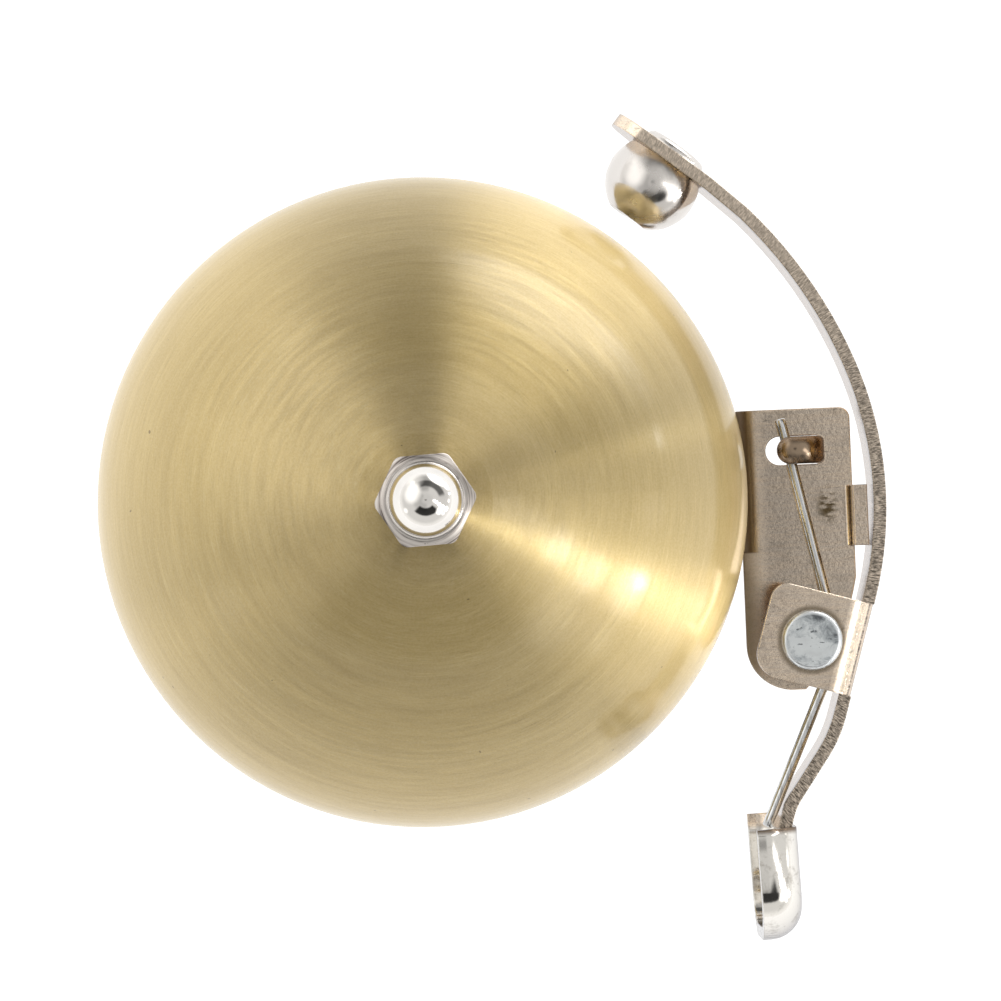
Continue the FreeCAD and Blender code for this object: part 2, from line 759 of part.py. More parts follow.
def make_lever():
    """Pressed lever; returns where the striker sits and which way it faces."""
    body = new_body("lever_strip")
    make_fork(body)
    end, seat_angle = sweep_arm(body, "striker_arm", 90, size.fork_high, [
        (5.0 - size.fork_high,),
        (size.swing_arc, size.swing_angle),
        (size.sweep_arc, size.sweep_angle),
        (size.kink_arc, size.kink_angle),
        (size.tip_reach,),
        (size.tip_arc, size.tip_angle),
        (size.seat_reach + size.seat_tail,),
    ])
    dress(body, "Fillet", size.seat_round, lambda e: is_end_corner(e, end))
    sweep_arm(body, "thumb_arm", -90, -size.fork_low, [
        (6.04 - size.fork_low,),
        (size.knee_arc, -size.knee_angle),
        (4.8,),
        (size.heel_arc, size.knee_angle),
        (1.8,),
    ])
    place(body, size.pivot_across, size.pivot_along, 0, size.pivot_turn)
    turn = Rotation(Vector(0, 0, 1), float(size.pivot_turn))
    pivot = Vector(float(size.pivot_across), float(size.pivot_along), 0)
    facing = math.radians(seat_angle + float(size.pivot_turn) + 90)
    inward = Vector(math.cos(facing), math.sin(facing), 0)
    outward_end = Vector(inward.y, -inward.x, 0) * float(size.seat_tail)
    seat = pivot + turn.multVec(end) - outward_end + Vector(0, 0, float(FORK_MIDDLE))
    lay = Rotation(Vector(0, 0, 1), inward)
    dish = make_thumb_pad()
    whole = doc.addObject("Part::MultiFuse", "lever_blank")
    whole.Shapes = [body, dish]
    pivot_bore = cylinder("lever_pivot_bore", size.rivet_shank, size.fork_top)
    place(pivot_bore, size.pivot_across, size.pivot_along, 5)
    shank_bore = cylinder("striker_bore", 1.5, 6.0)
    shank_bore.Placement = Placement(seat - inward * 3, lay)
    bores = doc.addObject("Part::MultiFuse", "lever_bores")
    bores.Shapes = [pivot_bore, shank_bore]
    finish(cut_from("lever", whole, bores), "lever")
    return seat, lay


def make_striker(seat, lay):
    """Ball with a flat seat and striking face, riveted through the lever's free end."""
    body = new_body("striker")
    half = size.strip / 2
    ball, front = size.ball_radius, size.ball_front
    centre = half + size.ball_seat
    tail = 3.1
    section = outline(body, "striker_section", "XZ_Plane", [
        (0, -half - 0.8),
        (tail - 0.6, -half - 0.8, 0.7),
        (tail, -half - 0.15),
        (tail, -half),
        (1.5, -half),
        (1.5, half),
        (leg(ball, size.ball_seat), half, ball),
        (leg(ball, front), centre + front),
        (0, centre + front),
    ])
    spin(body, section)
    body.Placement = Placement(seat, lay)
    finish(body, "striker")


def make_pivot():
    rivet = new_body("pivot_rivet")
    shank = size.rivet_shank
    head = 2.78
    tail = 2.3
    top, bottom = size.fork_top, FORK_BOTTOM
    section = outline(rivet, "rivet_section", "XZ_Plane", [
        (0, bottom - 0.8),
        (tail - 0.5, bottom - 0.8, 0.6),
        (tail, bottom - 0.3),
        (tail, bottom),
        (shank, bottom),
        (shank, top),
        (head, top),
        (head, top + 0.75, 0.25),
        (head - 0.25, top + 1.0),
        (0, top + 1.0),
    ])
    spin(rivet, section)
    place(rivet, size.pivot_across, size.pivot_along)
    finish(rivet, "pivot_rivet")
    sleeve = new_body("pivot_sleeve")
    bore = shank + size.running_gap
    height = size.fork_top - size.strip - size.side_gap - size.plate_level
    tube = outline(sleeve, "sleeve_section", "XZ_Plane", [
        (bore, 0),
        (bore + 0.5, 0),
        (bore + 0.5, height),
        (bore, height),
    ])
    spin(sleeve, tube)
    place(sleeve, size.pivot_across, size.pivot_along, size.plate_level)
    finish(sleeve, "pivot_sleeve")


def make_spring():
    """Torsion spring: leg under the hook, coil round the sleeve, leg into the thumb pad."""
    pivot = Vector(float(size.pivot_across), float(size.pivot_along), 0)
    radius = float(size.coil_radius)
    low = float(size.plate_level + size.wire) + 0.1
    first, last = 12.1, -23.5
    sweep = 360 * float(size.coil_turns) + first - last
    high = low + float(size.coil_pitch) * sweep / 360
    points = []
    start = on_circle(pivot, radius, first, low)
    along = Vector(-math.sin(math.radians(first)), math.cos(math.radians(first)), 0)
    for reach in (20.4, 16.0, 11.0, 6.0, 3.0, 1.2):
        points.append(start + along * reach)
    steps = 96
    for k in range(steps + 1):
        angle = first - sweep * k / steps
        points.append(on_circle(pivot, radius, angle, low + (high - low) * k / steps))
    finish_at = Vector(float(size.thumb_across) + 1.33, float(size.thumb_along) + 0.05,
                       high - 1.2)
    leave = points[-1]
    for share in (0.06, 0.15, 0.4, 0.7, 1.0):
        points.append(leave + (finish_at - leave) * share)
    curve = Part.BSplineCurve()
    curve.interpolate(points)
    path = Part.Wire([curve.toShape()])
    tangent = curve.tangent(curve.FirstParameter)[0]
    loop = Part.Wire([Part.makeCircle(float(size.wire), points[0], tangent)])
    spring = doc.addObject("Part::Feature", "return_spring")
    spring.Shape = path.makePipeShell([loop], True, False)
    finish(spring, "return_spring")


def on_circle(centre, radius, angle, level):
    turn = math.radians(angle)
    return Vector(centre.x + radius * math.cos(turn), centre.y + radius * math.sin(turn), level)


# ------------------------------------------------------------------ handlebar clamp
def half_chord(radius, level):
    return leg(radius, level)


def make_saddle():
    """Upper clamp half with a raised roof that houses the bolt head."""
    body = new_body("clamp_saddle")
    inner, outer = size.strap_inner, STRAP_OUTER
    low = size.ear_gap / 2
    high = low + size.strap_gauge
    wall, roof = size.roof_half, size.roof_level
    room = wall - size.strap_gauge
    under = roof - size.strap_gauge
    side = [
        (size.ear_reach, low),
        (size.ear_reach, high),
        (half_chord(outer, high), high, outer),
        (wall, half_chord(outer, wall)),
        (wall, roof),
    ]
    other = [
        (-wall, roof),
        (-wall, half_chord(outer, wall), outer),
        (-half_chord(outer, high), high),
        (-size.ear_reach, high),
        (-size.ear_reach, low),
        (-half_chord(inner, low), low, -inner),
        (-room, half_chord(inner, room)),
        (-room, under),
        (room, under),
        (room, half_chord(inner, room), -inner),
        (half_chord(inner, low), low),
    ]
    start = -size.strap_width / 2
    section = outline(body, "saddle_section", "XZ_Plane", side + other, start)
    pad(body, section, size.strap_width)
    dress(body, "Fillet", 1.2, lambda e: is_roof_edge(e))
    drill_ears(body)
    bolt_hole = circle(body, "roof_hole", "XY_Plane", 0, 0, size.gong_hole, roof)
    pocket(body, bolt_hole, size.strap_gauge + 0.1)
    finish(body, "clamp_saddle")


def is_roof_edge(edge):
    box = edge.BoundBox
    return box.YLength > 10 and box.ZMin > float(size.roof_level) - 0.1


def drill_ears(body):
    for name, reach in (("near_hole", size.screw_reach), ("far_hole", -size.screw_reach)):
        hole = circle(body, body.Name + "_" + name, "XY_Plane", reach, 0, 2.15)
        pocket(body, hole)
    dress(body, "Fillet", 3.0, lambda e: is_ear_corner(e))


def is_ear_corner(edge):
    return is_upright(edge) and abs(edge.BoundBox.Center.x) > float(size.ear_reach) - 0.1


def make_strap():
    body = new_body("clamp_strap")
    inner, outer = size.strap_inner, STRAP_OUTER
    high = -(size.ear_gap / 2)
    low = high - size.strap_gauge
    bottom = (0, -outer, outer)
    section = outline(body, "strap_section", "XZ_Plane", [
        (-size.ear_reach, high),
        (-size.ear_reach, low),
        (-half_chord(outer, low), low, outer),
        bottom,
        (half_chord(outer, low), low),
        (size.ear_reach, low),
        (size.ear_reach, high),
        (half_chord(inner, high), high, -inner),
        (0, -inner, -inner),
        (-half_chord(inner, high), high),
    ], -size.strap_width / 2)
    pad(body, section, size.strap_width)
    drill_ears(body)
    finish(body, "clamp_strap")


def make_liners():
    inner, outer = size.bar_bore, size.strap_inner
    low = size.ear_gap / 2
    room = size.roof_half - size.strap_gauge
    head_under = size.roof_level - size.strap_gauge - size.bolt_head - 0.1
    upper = new_body("bar_liner_upper")
    section = outline(upper, "upper_liner_section", "XZ_Plane", [
        (half_chord(outer, low), low, outer),
        (room, half_chord(outer, room)),
        (room, head_under),
        (-room, head_under),
        (-room, half_chord(outer, room), outer),
        (-half_chord(outer, low), low),
        (-half_chord(inner, low), low, -inner),
        (0, inner, -inner),
        (half_chord(inner, low), low),
    ], -size.strap_width / 2)
    pad(upper, section, size.strap_width)
    finish(upper, "bar_liner_upper")
    lower = new_body("bar_liner_lower")
    section = outline(lower, "lower_liner_section", "XZ_Plane", [
        (-half_chord(outer, low), -low, outer),
        (0, -outer, outer),
        (half_chord(outer, low), -low),
        (half_chord(inner, low), -low, -inner),
        (0, -inner, -inner),
        (-half_chord(inner, low), -low),
    ], -size.strap_width / 2)
    pad(lower, section, size.strap_width)
    finish(lower, "bar_liner_lower")


def make_clamp_fasteners():
    """M4 pan head screws from below, each with a washer under its head and a nut on top."""
    under = -(size.ear_gap / 2) - size.strap_gauge
    over = size.ear_gap / 2 + size.strap_gauge
    washer = 0.8
    for tag, reach in (("a", size.screw_reach), ("b", -size.screw_reach)):
        disc = new_body("clamp_washer_" + tag)
        section = outline(disc, "clamp_washer_section_" + tag, "XZ_Plane", [
            (2.15, 0), (4.5, 0), (4.5, washer), (2.15, washer)])
        spin(disc, section)
        place(disc, reach, 0, under - washer)
        finish(disc, "clamp_washer_" + tag)
        make_clamp_screw(tag, reach, under - washer, over)
        nut = new_body("clamp_nut_" + tag)
        blank = outline(nut, "clamp_nut_flats_" + tag, "XY_Plane",
                        hexagon(7.0, 30.0))
        pad(nut, blank, 3.2)
        thread = circle(nut, "clamp_nut_thread_" + tag, "XY_Plane", 0, 0, 2.0)
        pocket(nut, thread)
        place(nut, reach, 0, over)
        finish(nut, "clamp_nut_" + tag)


def make_clamp_screw(tag, reach, seat, over):
    screw = new_body("clamp_screw_" + tag)
    head = 3.9
    section = outline(screw, "clamp_screw_section_" + tag, "XZ_Plane", [
        (0, seat - 2.4),
        (head - 1.0, seat - 2.4, 1.0),
        (head, seat - 1.4),
        (head, seat),
        (1.98, seat),
        (1.98, over + 3.9),
        (1.6, over + 4.3),
        (0, over + 4.3),
    ])
    spin(screw, section)
    drive = outline(screw, "clamp_screw_slot_" + tag, "XY_Plane", [
        (-5, -0.5), (5, -0.5), (5, 0.5), (-5, 0.5)], seat - 2.4)
    pocket(screw, drive, 1.1, back=True)
    place(screw, reach)
    finish(screw, "clamp_screw_" + tag)


# ------------------------------------------------------------------ build, check, write
def check_and_write():
    doc.recompute()
    for item in doc.Objects:
        if "Invalid" in item.State or "Error" in item.State:
            raise RuntimeError("%s did not compute: %s" % (item.Name, item.State))
    for node in NODES:
        shape = node.Shape
        if shape.isNull() or not shape.isValid() or len(shape.Solids) != 1:
            raise RuntimeError("%s is not one valid solid" % node.Label)
        box = shape.BoundBox
        print("%-18s %9.1f mm3  x %7.2f %7.2f  y %7.2f %7.2f  z %7.2f %7.2f" % (
            node.Label, shape.Volume, box.XMin, box.XMax, box.YMin, box.YMax,
            box.ZMin, box.ZMax))
        shape.exportStep("parts/%s.step" % node.Label)


make_gong()
make_cap_nut()
make_centre_bolt()
make_spacers()
make_bracket()
striker_seat, striker_lay = make_lever()
make_striker(striker_seat, striker_lay)
make_pivot()
make_spring()
make_saddle()
make_strap()
make_liners()
make_clamp_fasteners()
check_and_write()
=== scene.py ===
import json
import math
import bmesh
import bpy
from mathutils import Matrix, Vector


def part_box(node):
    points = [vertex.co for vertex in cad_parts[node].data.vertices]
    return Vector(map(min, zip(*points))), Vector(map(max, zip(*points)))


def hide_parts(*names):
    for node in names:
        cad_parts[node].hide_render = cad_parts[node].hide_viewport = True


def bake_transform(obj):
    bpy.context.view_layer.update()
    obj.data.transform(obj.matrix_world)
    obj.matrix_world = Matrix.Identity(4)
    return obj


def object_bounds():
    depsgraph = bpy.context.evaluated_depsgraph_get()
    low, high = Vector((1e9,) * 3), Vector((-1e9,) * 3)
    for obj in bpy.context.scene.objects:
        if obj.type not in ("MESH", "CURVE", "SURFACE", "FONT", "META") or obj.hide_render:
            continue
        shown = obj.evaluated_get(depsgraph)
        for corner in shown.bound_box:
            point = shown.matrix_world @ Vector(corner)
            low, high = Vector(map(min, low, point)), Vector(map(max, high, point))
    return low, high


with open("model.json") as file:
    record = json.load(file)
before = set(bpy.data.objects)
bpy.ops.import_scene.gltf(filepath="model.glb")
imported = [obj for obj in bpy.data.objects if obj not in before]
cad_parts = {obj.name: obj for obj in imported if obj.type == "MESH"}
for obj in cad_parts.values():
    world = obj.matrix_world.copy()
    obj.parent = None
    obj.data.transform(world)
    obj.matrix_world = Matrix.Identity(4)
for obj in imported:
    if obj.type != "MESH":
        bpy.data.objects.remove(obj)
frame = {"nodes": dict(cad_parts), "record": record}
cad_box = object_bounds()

# Metres, like the frame.  +Z is the gong's axis and +X points at the lever.
MM = 0.001
NODES = frame["nodes"]
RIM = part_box("bell_dome")[0].z
LOW = cad_box[0][2]

# Places and sizes on the bell that the materials and the spring refer to.
GONG_LAND = 6.0 * MM          # flat land under the cap nut
GONG_CROWN = 33.3 * MM        # profile radius of the crown beyond the land
HEX_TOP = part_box("acorn_nut")[0].z + 3.6 * MM
PIVOT = (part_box("pivot_sleeve")[0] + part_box("pivot_sleeve")[1]) / 2
RIVET_HEAD = 2.78 * MM        # radius of the pivot rivet's head
PLATE_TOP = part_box("pivot_sleeve")[0].z
PLATE_SHEET = 1.3 * MM
FOLD = 29.5 * MM              # outer face of the bracket's down-turned wall
HOOK = PIVOT + Vector((-0.3, 17.7, 0)) * MM       # crown of the wire hook
SMUDGE = Vector((37.6, -1.8, 0)) * MM             # smear beside the stop tab
STRIP_TOP = 29.825 * MM       # sheared upper edge of the lever's arms
PAD_ACROSS = 29.2 * MM        # thumb pad's rim, across the bar
PAD_START = -31.3 * MM        # where the pad begins, along the bar
WIRE = 0.5 * MM               # spring wire radius


def scaled_color(color, share):
    return tuple(c * share for c in color)


# ---------------------------------------------------------------- node helpers
class Graph:
    """A node tree with short calls for procedural shading."""

    def __init__(self, tree):
        self.tree = tree
        self.nodes = tree.nodes

    def set(self, node, socket, value):
        """Link a node's output to the socket, or set a plain value on it."""
        if isinstance(value, bpy.types.NodeSocket):
            self.tree.links.new(value, node.inputs[socket])
        else:
            node.inputs[socket].default_value = value

    def node(self, kind, settings=None, **inputs):
        """Add a node; an input named i0, i1... is set by its number."""
        node = self.nodes.new("ShaderNode" + kind)
        for key, value in (settings or {}).items():
            setattr(node, key, value)
        for key, value in inputs.items():
            name = int(key[1:]) if key[1:].isdigit() else key.replace("_", " ")
            self.set(node, name, value)
        return node

    def math(self, operation, a, b=0.0, c=0.0):
        node = self.node("Math", {"operation": operation}, i0=a, i1=b, i2=c)
        return node.outputs[0]

    def add(self, a, b):
        return self.math("ADD", a, b)

    def less(self, a, b):
        return self.math("SUBTRACT", a, b)

    def times(self, first, *rest):
        for item in rest:
            first = self.math("MULTIPLY", first, item)
        return first

    def length(self, dx, dy):
        return self.math("SQRT", self.add(self.times(dx, dx), self.times(dy, dy)))

    def spread(self, value, low, high, out_low=0.0, out_high=1.0):
        """Smooth change from out_low to out_high as value goes from low to high."""
        node = self.node("MapRange", {"interpolation_type": "SMOOTHSTEP"}, Value=value,
                         From_Min=low, From_Max=high, To_Min=out_low, To_Max=out_high)
        return node.outputs[0]

    def band(self, value, rise_from, rise_to, fall_from, fall_to):
        """One between rise_to and fall_from, nothing outside the band."""
        return self.times(self.spread(value, rise_from, rise_to),
                          self.spread(value, fall_from, fall_to, 1.0, 0.0))

    def split(self, vector):
        return self.node("SeparateXYZ", Vector=vector).outputs

    def join(self, x, y, z):
        return self.node("CombineXYZ", X=x, Y=y, Z=z).outputs[0]

    def noise(self, vector, scale=1.0, detail=3.0, rough=0.55, distortion=0.0):
        """Fractal noise; with object coordinates, scale is in features per metre."""
        node = self.node("TexNoise", Vector=vector, Scale=scale, Detail=detail,
                         Roughness=rough, Distortion=distortion)
        return node.outputs["Fac"]

    def ramp(self, value, stops):
        node = self.node("ValToRGB", Fac=value)
        elements = node.color_ramp.elements
        while len(elements) > 1:
            elements.remove(elements[-1])
        for k, (at, shade) in enumerate(stops):
            element = elements[0] if k == 0 else elements.new(at)
            element.position = at
            color = shade if isinstance(shade, tuple) else (shade, shade, shade)
            element.color = (*color, 1)
        return node.outputs["Color"]

    def mix(self, factor, a, b):
        node = self.node("Mix", {"data_type": "RGBA"}, Factor=factor)
        for index, value in ((6, a), (7, b)):
            socket = isinstance(value, bpy.types.NodeSocket)
            self.set(node, index, value if socket else (*value, 1))
        return node.outputs[2]


class Look(Graph):
    """A surface material built on one Principled shader."""

    def __init__(self, name, color, metallic, roughness, edge=0.0, **uniform):
        self.mat = bpy.data.materials.new(name)
        self.mat.use_nodes = True
        super().__init__(self.mat.node_tree)
        self.bsdf = self.nodes["Principled BSDF"]
        self.color((*color, 1))
        self.set(self.bsdf, "Metallic", metallic)
        self.rough(roughness)
        for key, value in uniform.items():
            self.set(self.bsdf, key.replace("_", " "), value)
        self.coords = self.node("TexCoord").outputs["Object"]
        self.normal = None
        self.bevel = None
        if edge:
            self.bevel = self.node("Bevel", {"samples": 6}, Radius=edge)
            self.normal = self.bevel.outputs[0]
            self.set(self.bsdf, "Normal", self.normal)

    def color(self, value):
        self.set(self.bsdf, "Base Color", value)

    def rough(self, value):
        self.set(self.bsdf, "Roughness", value)

    def scaled(self, x, y, z):
        """Object position times a scale for each axis."""
        node = self.node("Mapping", Vector=self.coords, Scale=(x, y, z))
        return node.outputs[0]

    def reach_from(self, x, y):
        """Distance in plan from a point."""
        here = self.split(self.coords)
        return self.length(self.less(here[0], x), self.less(here[1], y))

    def crown(self, distance, radius):
        """Height of a shallow dome of that radius at a distance from its top."""
        return self.times(distance, distance, -1 / (2 * radius))

    def bump(self, height, distance=1.0, strength=1.0):
        """Tilt the normal by a height, which is in metres when distance is one."""
        node = self.node("Bump", Height=height, Distance=distance, Strength=strength)
        if self.normal is not None:
            self.set(node, "Normal", self.normal)
        self.normal = node.outputs["Normal"]
        self.set(self.bsdf, "Normal", self.normal)


# ---------------------------------------------------------------- materials
def brass():
    """Brushed brass under clear lacquer, the fine scratches running round the axis."""
    look = Look("brushed_brass", (0.7, 0.55, 0.28), 1.0, 0.45,
                Anisotropic=1.0, Anisotropic_Rotation=0.25,
                Coat_Weight=0.7, Coat_Roughness=0.15)
    tangent = look.node("Tangent", {"direction_type": "RADIAL", "axis": "Z"})
    look.set(look.bsdf, "Tangent", tangent.outputs[0])
    x, y, z = look.split(look.coords)
    radius = look.length(x, y)
    across = look.less(radius, look.times(z, 0.8))

    def rings(pitch, turns, detail=2.0):
        """Noise drawn out round the axis; turns sets how short the strokes are."""
        along = [look.times(look.math("DIVIDE", v, radius), turns) for v in (x, y)]
        return look.noise(look.join(look.times(across, 1 / pitch), *along),
                          1.0, detail, 0.6)

    fine = rings(0.16 * MM, 5.0)
    broad = rings(0.6 * MM, 3.0)
    strokes = rings(0.22 * MM, 9.0, 1.0)
    wide = look.noise(look.join(look.times(across, 420.0), look.times(x, 45.0),
                                look.times(y, 45.0)), 1.0, 3.0, 0.6)
    grain = look.noise(look.coords, 5200.0, 2.0, 0.6)
    specks = look.noise(look.coords, 1300.0, 1.0)

    tone = look.ramp(fine, [(0.3, (0.57, 0.43, 0.185)), (0.5, (0.625, 0.48, 0.215)),
                            (0.7, (0.68, 0.535, 0.25))])
    bright_strokes = look.ramp(strokes, [(0.64, 0.0), (0.76, 0.3)])
    dark_strokes = look.ramp(strokes, [(0.26, 0.28), (0.34, 0.0)])
    dark_specks = look.ramp(specks, [(0.812, 0.0), (0.825, 0.7)])
    tone = look.mix(bright_strokes, tone, (0.78, 0.66, 0.38))
    tone = look.mix(dark_strokes, tone, (0.38, 0.27, 0.11))
    tone = look.mix(look.spread(wide, 0.42, 0.7, 0.0, 0.5), tone, (0.54, 0.405, 0.17))
    tone = look.mix(look.spread(grain, 0.3, 0.7, 0.0, 0.16), tone, (0.9, 0.78, 0.5))
    tone = look.mix(dark_specks, tone, (0.2, 0.14, 0.07))
    look.color(tone)
    look.rough(look.spread(look.add(fine, broad), 0.7, 1.3, 0.38, 0.47))

    # The land's shading runs on from the crown's, so no ring shows at its edge.
    look.bump(look.crown(look.math("MINIMUM", radius, GONG_LAND), GONG_CROWN))
    look.bump(fine, 0.006 * MM, 0.4)
    look.bump(grain, 0.005 * MM, 0.6)
    return look.mat


def sheet_plate(name, tone, roughness):
    """Nickel on pressed steel: pebble, drawn streaks and smudges.

    The shade, gloss and depth are left open, so that a piece can add its own marks and its
    painted shade and reflections.
    """
    look = Look(name, tone, 1.0, roughness, edge=0.2 * MM,
                Specular_Tint=(0.62, 0.62, 0.64, 1))
    pebble = look.noise(look.coords, 3200.0, 3.0, 0.6)
    streak = look.noise(look.scaled(320.0, 3600.0, 900.0), 1.0, 3.0, 0.65)
    patch = look.noise(look.coords, 260.0, 5.0, 0.7, 0.4)
    fleck = look.noise(look.scaled(1100.0, 3300.0, 3000.0), 1.0, 2.0, 0.6)
    grain = look.noise(look.coords, 7500.0, 2.0, 0.7)
    warm = (tone[0] * 1.12, tone[1] * 1.06, tone[2] * 0.98)
    shade = look.mix(look.spread(streak, 0.38, 0.66, 0.0, 0.6), tone, warm)
    shade = look.mix(look.spread(patch, 0.46, 0.74, 0.0, 0.5), shade,
                     scaled_color(tone, 0.5))
    shade = look.mix(look.ramp(fleck, [(0.64, 0.0), (0.74, 0.6)]), shade,
                     scaled_color(tone, 0.35))
    shade = look.mix(look.spread(grain, 0.32, 0.6, 0.42, 0.0), shade,
                     scaled_color(tone, 0.45))
    look.shade = shade
    look.gloss = look.spread(pebble, 0.3, 0.7, roughness * 0.75, roughness * 1.3)
    look.depth = look.add(pebble, look.times(streak, 0.5))
    return look


def finish_plate(look):
    look.color(look.shade)
    look.rough(look.gloss)
    look.bump(look.depth, 0.008 * MM, 0.35)
    return look.mat


def stain_and_shade_plate(look, where, tone, gloss=None):
    """Lay a tone, a stain or a painted shade, and a roughness if one is given, over part
    of a plate.
    """
    look.shade = look.mix(where, look.shade, tone)
    if gloss is not None:
        look.gloss = look.mix(where, look.gloss, (gloss, gloss, gloss))


def bracket_look():
    """Plate with a painted brown reflection of the gong by its fold, a smear by the tab
    and a polished hook whose darker tone is painted dark reflection.
    """
    look = sheet_plate("satin_nickel_bracket", scaled_color(NICKEL, 1.07), 0.07)
    x, y, z = look.split(look.coords)

    # Painted reflection: the brown band by the fold stands in for the gong's brass
    # mirrored in the bend.
    fold_reflection = look.times(look.spread(x, FOLD, FOLD + 3.0 * MM, 0.8, 0.0),
                      look.spread(x, FOLD - 6.0 * MM, FOLD - 2.0 * MM))
    stain_and_shade_plate(look, fold_reflection, (0.26, 0.19, 0.11), 0.6)

    smear = look.noise(look.scaled(900.0, 2600.0, 900.0), 1.0, 3.0, 0.6)
    off = look.length(look.times(look.less(x, SMUDGE.x), 1.7), look.less(y, SMUDGE.y))
    smudge = look.times(look.spread(off, 0.6 * MM, 2.1 * MM, 1.0, 0.0),
                        look.spread(smear, 0.4, 0.56))
    stain_and_shade_plate(look, smudge, (0.17, 0.12, 0.06))

    # The hook is polished and crowned by the bump; its darker brown tone is painted dark
    # reflection.
    hook = look.times(look.spread(z, PLATE_TOP + 0.2 * MM, PLATE_TOP + 0.4 * MM),
                      look.math("LESS_THAN", x, PIVOT.x + 3.0 * MM))
    look.set(look.bevel, "Radius",
             look.math("MULTIPLY_ADD", hook, 0.95 * MM, 0.2 * MM))
    stain_and_shade_plate(look, hook, (0.32, 0.24, 0.17), 0.1)
    look.bump(look.times(look.crown(look.reach_from(HOOK.x, HOOK.y), 4.0 * MM), hook))

    # The sheet's cut faces are darkened: partly the sheared steel's own tone, partly
    # painted shade for the dark outline along the plate's edges.
    cut_face_shade = look.times(
        look.spread(z, PLATE_TOP - PLATE_SHEET - 0.1 * MM, PLATE_TOP - PLATE_SHEET),
        look.spread(z, PLATE_TOP - 0.25 * MM, PLATE_TOP - 0.1 * MM, 0.75, 0.0))
    stain_and_shade_plate(look, cut_face_shade, (0.15, 0.1, 0.06))
    return finish_plate(look)


def lever_look():
    """Sheared strip edges with torn grain, painted shade round the rivet and along the
    strip's upper edge, and a polished thumb pad.
    """
    look = sheet_plate("satin_nickel_lever", scaled_color(NICKEL, 1.12), 0.15)
    x, y, z = look.split(look.coords)

    # Painted shade: a dark ring round the rivet's head, where its shadow and reflection
    # fall on the ear.
    rivet_shade_ring = look.band(look.reach_from(PIVOT.x, PIVOT.y), RIVET_HEAD - 0.18 * MM,
                     RIVET_HEAD + 0.02 * MM, 2.9 * MM, 3.4 * MM)
    stain_and_shade_plate(look, look.times(rivet_shade_ring, 0.75), (0.22, 0.17, 0.11))

    # Painted shade: the strip's faces darken towards the upper edge, away from the ears
    # and the tip.
    away = look.math("ABSOLUTE", look.less(y, PIVOT.y))
    brink_shade = look.times(look.spread(z, STRIP_TOP - 2.4 * MM, STRIP_TOP - 0.4 * MM),
                       look.spread(away, 5.5 * MM, 6.5 * MM),
                       look.spread(y, 26.0 * MM, 34.0 * MM, 1.0, 0.0))
    stain_and_shade_plate(look, brink_shade, (0.2, 0.15, 0.11))

    # Torn marks across the sheared edge, set out round the middle of the arm's bend.
    px, py = look.less(x, 8.0 * MM), look.add(y, 1.0 * MM)
    turn = look.math("ARCTAN2", py, px)
    marks = look.noise(look.join(look.times(turn, 300.0),
                                 look.times(look.length(px, py), 1700.0), 0.0),
                       1.0, 4.0, 0.72)
    edge = look.band(z, STRIP_TOP - 0.2 * MM, STRIP_TOP - 0.07 * MM,
                     STRIP_TOP + 0.1 * MM, STRIP_TOP + 0.2 * MM)
    torn = look.ramp(marks, [(0.36, scaled_color(NICKEL, 0.08)),
                             (0.48, scaled_color(NICKEL, 0.36)),
                             (0.62, scaled_color(NICKEL, 0.95))])
    torn = look.mix(look.spread(y, 0.0, 30.0 * MM, 0.0, 0.45), torn,
                    scaled_color(NICKEL, 0.8))
    stain_and_shade_plate(look, edge, torn, 0.4)

    pad = look.spread(y, PAD_START - 0.6 * MM, PAD_START, 1.0, 0.0)
    look.depth = look.times(look.add(look.depth, look.times(marks, edge, 9.0)),
                            look.spread(pad, 0.0, 1.0, 1.0, 0.25))
    smudge = look.noise(look.coords, 700.0, 4.0, 0.7, 0.3)
    bright = look.mix(look.spread(smudge, 0.52, 0.72, 0.0, 0.6), (0.78, 0.755, 0.71),
                      (0.4, 0.37, 0.33))
    stain_and_shade_plate(look, pad, bright, 0.1)
    along_pad = look.less(y, PAD_START - 1.8 * MM)
    look.bump(look.times(look.crown(along_pad, 20.0 * MM), pad))
    return finish_plate(look)


def ball_look():
    """Satin nickel with a haze and fine pits."""
    roughness = 0.2
    look = Look("satin_nickel_ball", (0.66, 0.63, 0.6), 1.0, roughness, edge=0.08 * MM)
    haze = look.noise(look.coords, 500.0)
    look.rough(look.spread(haze, 0.3, 0.7, roughness * 0.6, roughness * 1.7))
    look.bump(look.noise(look.coords, 900.0, 2.0), 0.01 * MM, 0.25)
    look.bump(look.noise(look.coords, 2600.0, 2.0), 0.003 * MM, 0.25)
    return look.mat


